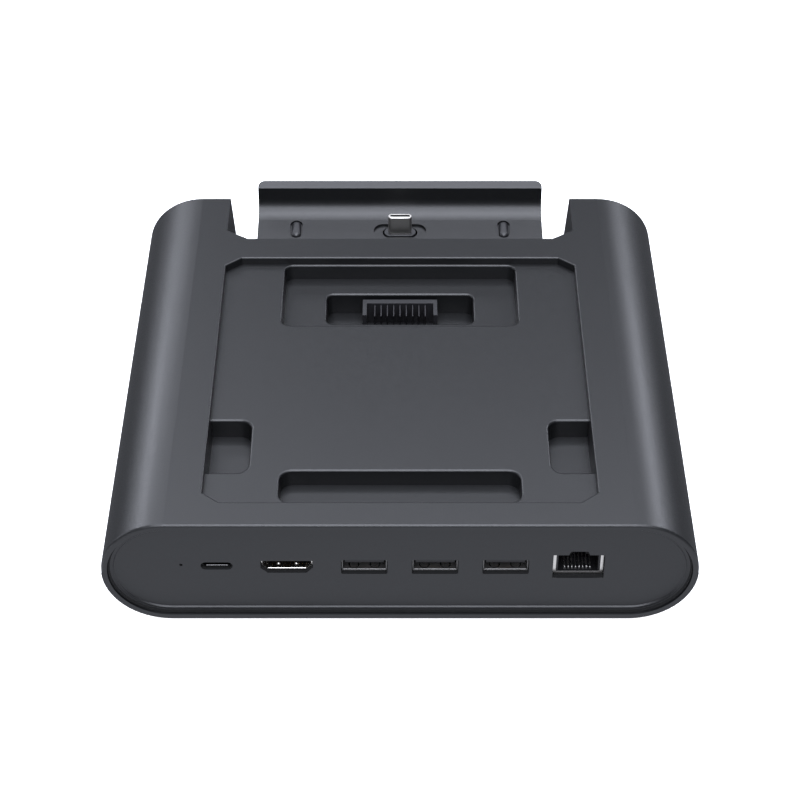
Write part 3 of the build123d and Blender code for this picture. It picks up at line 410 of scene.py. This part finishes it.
# The shield is bright nickel too. All of it above the level of the steps beside the keyway is painted dark,
# as painted shade.
STEP_DROP = 3.4
STEP_SHADE_DARK = "#1c1c1c"
shield_steel = stamped("folded_nickel_steel", BRIGHT_NICKEL, rough=0.3)
tree, shader, axes = reopen(shield_steel)
step_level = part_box("network_shield")[1][2] - STEP_DROP * MM
shade_above_steps = add(tree, "ShaderNodeMath", {0: axes["Z"], 1: step_level}, operation="GREATER_THAN")
nickel_and_painted_shade = add(
    tree,
    "ShaderNodeMix",
    {0: shade_above_steps.outputs[0], 6: linear(BRIGHT_NICKEL), 7: linear(STEP_SHADE_DARK)},
    data_type="RGBA",
)
feed(tree, shader, {"Base Color": nickel_and_painted_shade.outputs[2]})
dress(shield_steel, "network_shield")
dress(socket_lcp, "network_insert")
# Nickel-plated wire: light, so that its tips show as bright dots.
wire_nickel = stamped("nickel_plated_wire", "#d8d6d2", rough=0.28)
dress(wire_nickel, "network_contacts")


# Status light: lamp on the board and a clear rod that carries its light to a pin hole in the panel.
# Moulded acrylic, clear and polished; with the lamp off the hole looks black.

def clear(name, colour, rough):
    """Clear moulded acrylic: glossy, with faint waves left by the mould."""
    material, tree, shader, place = blank(name)
    wave_mm = 1.5
    waves = add(tree, "ShaderNodeTexNoise", {"Vector": place, "Scale": 1 / (wave_mm * MM), "Detail": 1.0})
    bump = add(
        tree,
        "ShaderNodeBump",
        {"Height": waves.outputs[0], "Strength": 0.1, "Distance": 0.02 * MM},
    )
    feed(
        tree,
        shader,
        {
            "Base Color": linear(colour),
            "Roughness": rough,
            "Transmission Weight": 0.95,
            "IOR": 1.49,
            "Normal": bump.outputs[0],
        },
    )
    return material


acrylic = clear("clear_acrylic_rod", "#dfe3e6", rough=0.12)
dress(acrylic, "light_pipe")
# Lamp resin: milky and pale.
lamp_resin = moulded("milky_lamp_resin", "#cfd0c8", "#dadbd3", rough=0.3, grain_mm=0.6, depth_mm=0.005)
dress(lamp_resin, "status_led")


# Port panel: plate with a coved edge and a sunk field, held by its flange in a slot of the two shells.
# Moulded in the same plastic, with a finer grain that keeps the ports' field even.

panel_abs = moulded("pc_abs_fine_grain", *PIGMENT, rough=0.4, grain_mm=0.4, depth_mm=0.015)
# Only the field and its border are satin. The cove around them and the walls of the openings are kept dull
# and painted near-black, as painted shade.
FIELD_AT = 1.7
FIELD_REACH = 0.25
DULL = 1.0
COVE_SHADE_BLACK = "#040404"
FRONT = cad_box[0][1] / MM
tree, shader, axes = reopen(panel_abs)
unshaded_field = add(
    tree,
    "ShaderNodeMath",
    {0: axes["Y"], 1: (FRONT + FIELD_AT) * MM, 2: FIELD_REACH * MM},
    operation="COMPARE",
)
satin = shader.inputs["Roughness"].links[0].from_socket
finish = add(tree, "ShaderNodeMix", {0: unshaded_field.outputs[0], 2: DULL, 3: satin})
pigment = shader.inputs["Base Color"].links[0].from_socket
shade = add(
    tree,
    "ShaderNodeMix",
    {0: unshaded_field.outputs[0], 6: linear(COVE_SHADE_BLACK), 7: pigment},
    data_type="RGBA",
)
feed(tree, shader, {"Roughness": finish.outputs[0], "Base Color": shade.outputs[2]})
dress(panel_abs, "port_panel")


# Battery board: small board under the bay with the connector that reaches up into the well.
# Nine tinned blades stand in a black frame; a link joins this board to the main one.

dress(solder_mask, "battery_board")
dress(socket_lcp, "board_link")
# The connector's nylon is lighter than the sockets' plastic and a little shinier.
nylon = moulded("glass_filled_nylon", "#1b1b1d", "#212123", rough=0.42, grain_mm=0.3, depth_mm=0.015)
dress(nylon, "battery_connector")
# Dull tin: the blades are thin grey lines.
tin = stamped("tinned_bronze_blades", "#4c4b4d", rough=0.38)
dress(tin, "battery_blades")


# Top shell: upper half of the housing with bay, pockets, well and notch moulded in one.
# Same plastic and grain as the lower half, which it laps with a rib along the seam.

dress(housing_abs, "top_shell")


# Cradle: tray with a rolled-up lip that takes the console, screwed on from below.
# Two rounded pads of soft dark rubber are glued into pits in its floor.

dress(housing_abs, "cradle")
# Thermoplastic rubber: lighter than the housing, with a shallower grain and a soft even sheen.
pad_tpe = moulded("tpe_pad_grey", "#19191b", "#1d1d1f", rough=0.4, grain_mm=0.5, depth_mm=0.01)
dress(pad_tpe, "cradle_pad_left", "cradle_pad_right")


# Plug: steel plug with a rolled-in end, square to the tray's floor, in a rubbery boot in its dish.
# It stands on a small board under the tray; a flat cable runs from there to the main board.

# Rubbery urethane: matt, a little lighter than the housing.
boot_tpu = moulded("tpu_boot_matt", "#1c1d1f", "#212224", rough=0.5, grain_mm=0.4, depth_mm=0.02)
dress(boot_tpu, "plug_boot")
# Tumbled steel: soft grey on the flanks, white where the rolled end faces the light. The inside of the slot
# is painted black, as painted shade.
PLUG_STEEL = "#bdbbb6"
SLOT_SHADE_BLACK = "#0c0c0c"
SLOT_HALF = (3.4, 0.45)
SLOT_DEEP = 4.0
END_HALF = 1.22
low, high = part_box("plug_shell")
tumbled_steel = stamped("tumbled_stainless_steel", PLUG_STEEL, rough=0.4)
tree, shader, axes = reopen(tumbled_steel)
across = add(
    tree,
    "ShaderNodeMath",
    {0: axes["X"], 1: (low[0] + high[0]) / 2, 2: SLOT_HALF[0] * MM},
    operation="COMPARE",
)
along = add(
    tree,
    "ShaderNodeMath",
    {0: axes["Y"], 1: low[1] + END_HALF * MM, 2: SLOT_HALF[1] * MM},
    operation="COMPARE",
)
deep = add(tree, "ShaderNodeMath", {0: axes["Z"], 1: high[2] - SLOT_DEEP * MM}, operation="GREATER_THAN")
mouth = add(tree, "ShaderNodeMath", {0: across.outputs[0], 1: along.outputs[0]}, operation="MULTIPLY")
slot = add(tree, "ShaderNodeMath", {0: mouth.outputs[0], 1: deep.outputs[0]}, operation="MULTIPLY")
steel_and_slot_shade = add(
    tree,
    "ShaderNodeMix",
    {0: slot.outputs[0], 6: linear(PLUG_STEEL), 7: linear(SLOT_SHADE_BLACK)},
    data_type="RGBA",
)
feed(tree, shader, {"Base Color": steel_and_slot_shade.outputs[2]})
dress(tumbled_steel, "plug_shell")
dress(socket_lcp, "plug_core", "cable_socket_plug")
dress(solder_mask, "plug_board")
# Polyimide film: amber and glossy, with the conductors showing as faint lines.
film = masked("polyimide_flat_cable", "#8a6a2a", "#a9853c", pitch_mm=1.0)
dress(film, "plug_cable")


# Case screws: ten pan-head screws with cross recesses, driven up from below into the bosses.
# Cold-headed steel with black zinc; four of them hold the cradle, six the two shells.

HEAD_R = 2.2
HEAD_H = 1.5
SHANK_R = 1.2
SHANK_L = 7.5
HEAD_ROUND = 0.6
POINT = 0.35
RECESS = (0.75, 2.4, 1.2)
RECESS_TAPER = (0.6, 0.45, 1.0)
CASE_SEAT = 18.0
CASE_SPOTS = ((64.5, 34.0), (64.5, 84.0), (66.0, 148.3))
CRADLE_SEAT = 10.5
CRADLE_SPOTS = ((44.0, 150.3), (44.0, 171.3))
SCREW_SPOTS = [(side * x, y, CASE_SEAT) for side in (-1, 1) for x, y in CASE_SPOTS]
SCREW_SPOTS += [(side * x, y, CRADLE_SEAT) for side in (-1, 1) for x, y in CRADLE_SPOTS]

bpy.ops.object.select_all(action="DESELECT")
bpy.ops.mesh.primitive_cylinder_add(vertices=32, radius=HEAD_R * MM, depth=HEAD_H * MM)
screw = bpy.context.object
screw.name = "case_screw_set"
pick(screw, lambda c: c.z < SLACK - HEAD_H / 2)
bpy.ops.mesh.bevel(offset=HEAD_ROUND * MM, segments=4)
pick(screw, lambda c: c.z > HEAD_H / 2 - SLACK)
bpy.ops.mesh.inset(thickness=(HEAD_R - SHANK_R) * MM)
for run in (SHANK_L - SHANK_R, SHANK_R):
    bpy.ops.mesh.extrude_region_move(TRANSFORM_OT_translate={"value": (0, 0, run * MM)})
bpy.ops.transform.resize(value=(POINT, POINT, 1.0))
bpy.ops.object.mode_set(mode="OBJECT")
cross = start("recess", RECESS, (0, 0, -HEAD_H / 2))
pick(cross, lambda c: c.z > RECESS[2] / 2 - SLACK)
bpy.ops.transform.resize(value=RECESS_TAPER)
bpy.ops.mesh.select_all(action="SELECT")
bpy.ops.mesh.duplicate()
bpy.ops.transform.rotate(value=math.radians(90), orient_axis="Z", center_override=(0, 0, 0))
bpy.ops.object.mode_set(mode="OBJECT")
recess = screw.modifiers.new("recess", "BOOLEAN")
recess.object = cross
recess.solver = "EXACT"
recess.use_self = True
bpy.context.view_layer.objects.active = screw
bpy.ops.object.modifier_apply(modifier=recess.name)
bpy.data.objects.remove(cross)
copies = []
for x, y, seat in SCREW_SPOTS:
    copy = screw.copy()
    copy.data = screw.data.copy()
    copy.location = (x * MM, (FRONT + y) * MM, (seat - HEAD_H / 2) * MM)
    bpy.context.collection.objects.link(copy)
    copies.append(copy)
bpy.data.objects.remove(screw)
bpy.ops.object.select_all(action="DESELECT")
for copy in copies:
    copy.select_set(True)
screws = copies[0]
bpy.context.view_layer.objects.active = screws
bpy.ops.object.join()
screws.name = "case_screw_set"
settle(screws, black_zinc)
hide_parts("case_screws")


# Feet: four round discs of black silicone glued into recesses of the bottom shell.
# Moulded with a rounded lower edge, flat below, with a faint cast texture.

# Silicone: black and dull.
silicone = moulded("silicone_rubber_black", "#121213", "#18181a", rough=0.72, grain_mm=0.5, depth_mm=0.03)
dress(silicone, "foot_1", "foot_2", "foot_3", "foot_4")


# Studio: white paper floor, an arch of soft lights over the dock, smaller ones before, beside and behind it,
# and the camera at the photograph's place. The floor shines by itself so that it stays even, and is kept out
# of the reflections that it would wash out.

FLOOR_SIZE = 8.0
FLOOR_DROP = 0.2
bpy.ops.object.select_all(action="DESELECT")
bpy.ops.mesh.primitive_plane_add(size=FLOOR_SIZE, location=(0, 0, -FLOOR_DROP * MM))
floor = bpy.context.object
floor.name = "floor"
# Lit paper: plain and pale, so that only the dock shows.
paper, tree, shader, _ = blank("white_paper")
feed(
    tree,
    shader,
    {
        "Base Color": linear("#f4f4f4"),
        "Roughness": 0.9,
        "Emission Color": linear("#ffffff"),
        "Emission Strength": 0.9,
    },
)
floor.data.materials.append(paper)
floor.visible_glossy = False
floor.visible_diffuse = False

DAYLIGHT = (0.95, 0.985, 1.1)
SKY = 0.231
world = bpy.data.worlds.new("studio")
bpy.context.scene.world = world
world.use_nodes = True
sky = world.node_tree
feed(sky, sky.nodes["Background"], {"Color": (*DAYLIGHT, 1.0), "Strength": SKY})


def softbox(name, at, aim, width, height, watts):
    """Rectangular area light turned to a point."""
    bpy.ops.object.light_add(type="AREA", location=at)
    lamp = bpy.context.object
    lamp.name = name
    lamp.data.shape = "RECTANGLE"
    lamp.data.size = width
    lamp.data.size_y = height
    lamp.data.energy = watts
    lamp.data.color = DAYLIGHT
    lamp.visible_camera = False
    lamp.rotation_euler = (Vector(aim) - Vector(at)).to_track_quat("-Z", "Y").to_euler()


# An arch of softboxes runs over the dock from behind to the front: angle, depth and watts of each.
ARCH_R = 1.5
ARCH_W = 1.1
DECK = (0, 0, 0.02)
ARCH = (
    (60, 0.26, 5.2),
    (70, 0.26, 3.7),
    (80, 0.26, 5.0),
    (93, 0.4, 9.0),
    (108, 0.4, 9.5),
    (123, 0.4, 5.5),
    (138, 0.4, 9.9),
)
for angle, depth, watts in ARCH:
    y = ARCH_R * math.cos(math.radians(angle))
    z = ARCH_R * math.sin(math.radians(angle))
    softbox("arch", (0, y, z), DECK, ARCH_W, depth, watts)
softbox("front_low", (0, -1.45, 0.16), DECK, width=1.2, height=0.25, watts=1.03)

# A lit card just over the floor stands for the paper before the dock, which the panel reflects.
CARD_Y = -0.215
CARD_Z = 0.0004
softbox("front_card", (0, CARD_Y, CARD_Z), (0, CARD_Y, 1), width=0.42, height=0.28, watts=0.266)

# Small lights beside and behind draw the sheen on the round sides: place, then watts for left and right.
TOP = (0, 0, 0.03)
softbox("side_low", (-1.4, 0.2, 0.5), TOP, width=0.5, height=0.4, watts=3.0)
SHOULDERS = (
    ("shoulder_high", (0.492, 1.132, 0.882), 1.22, 0.02),
    ("shoulder", (0.683, 1.132, 0.738), 1.15, 1.21),
    ("shoulder_wide", (0.901, 0.983, 0.718), 3.64, 3.58),
    ("shoulder_low", (1.087, 0.959, 0.414), 0.8, 0.6),
)
for side in (-1, 1):
    for name, (x, y, z), left, right in SHOULDERS:
        watts = left if side < 0 else right
        softbox(name, (side * x, y, z), TOP, width=0.25, height=0.3, watts=watts)

# Lens, place and tilt are fitted to the dock's outline in the photograph, whose width is FRAME_PX.
FRAME_PX = 800
FOCAL_PX = 2021.0
LENS_SHIFT = -0.0054
EYE = (0, -0.50151, 0.44935)
TILT_DEG = 48.75
camera = bpy.data.cameras.new("camera")
camera.sensor_width = 36.0
camera.lens = FOCAL_PX * camera.sensor_width / FRAME_PX
camera.shift_y = LENS_SHIFT
viewer = bpy.data.objects.new("camera", camera)
bpy.context.scene.collection.objects.link(viewer)
viewer.location = EYE
viewer.rotation_euler = (math.radians(TILT_DEG), 0, 0)
bpy.context.scene.camera = viewer
bpy.context.scene.view_settings.view_transform = "Standard"
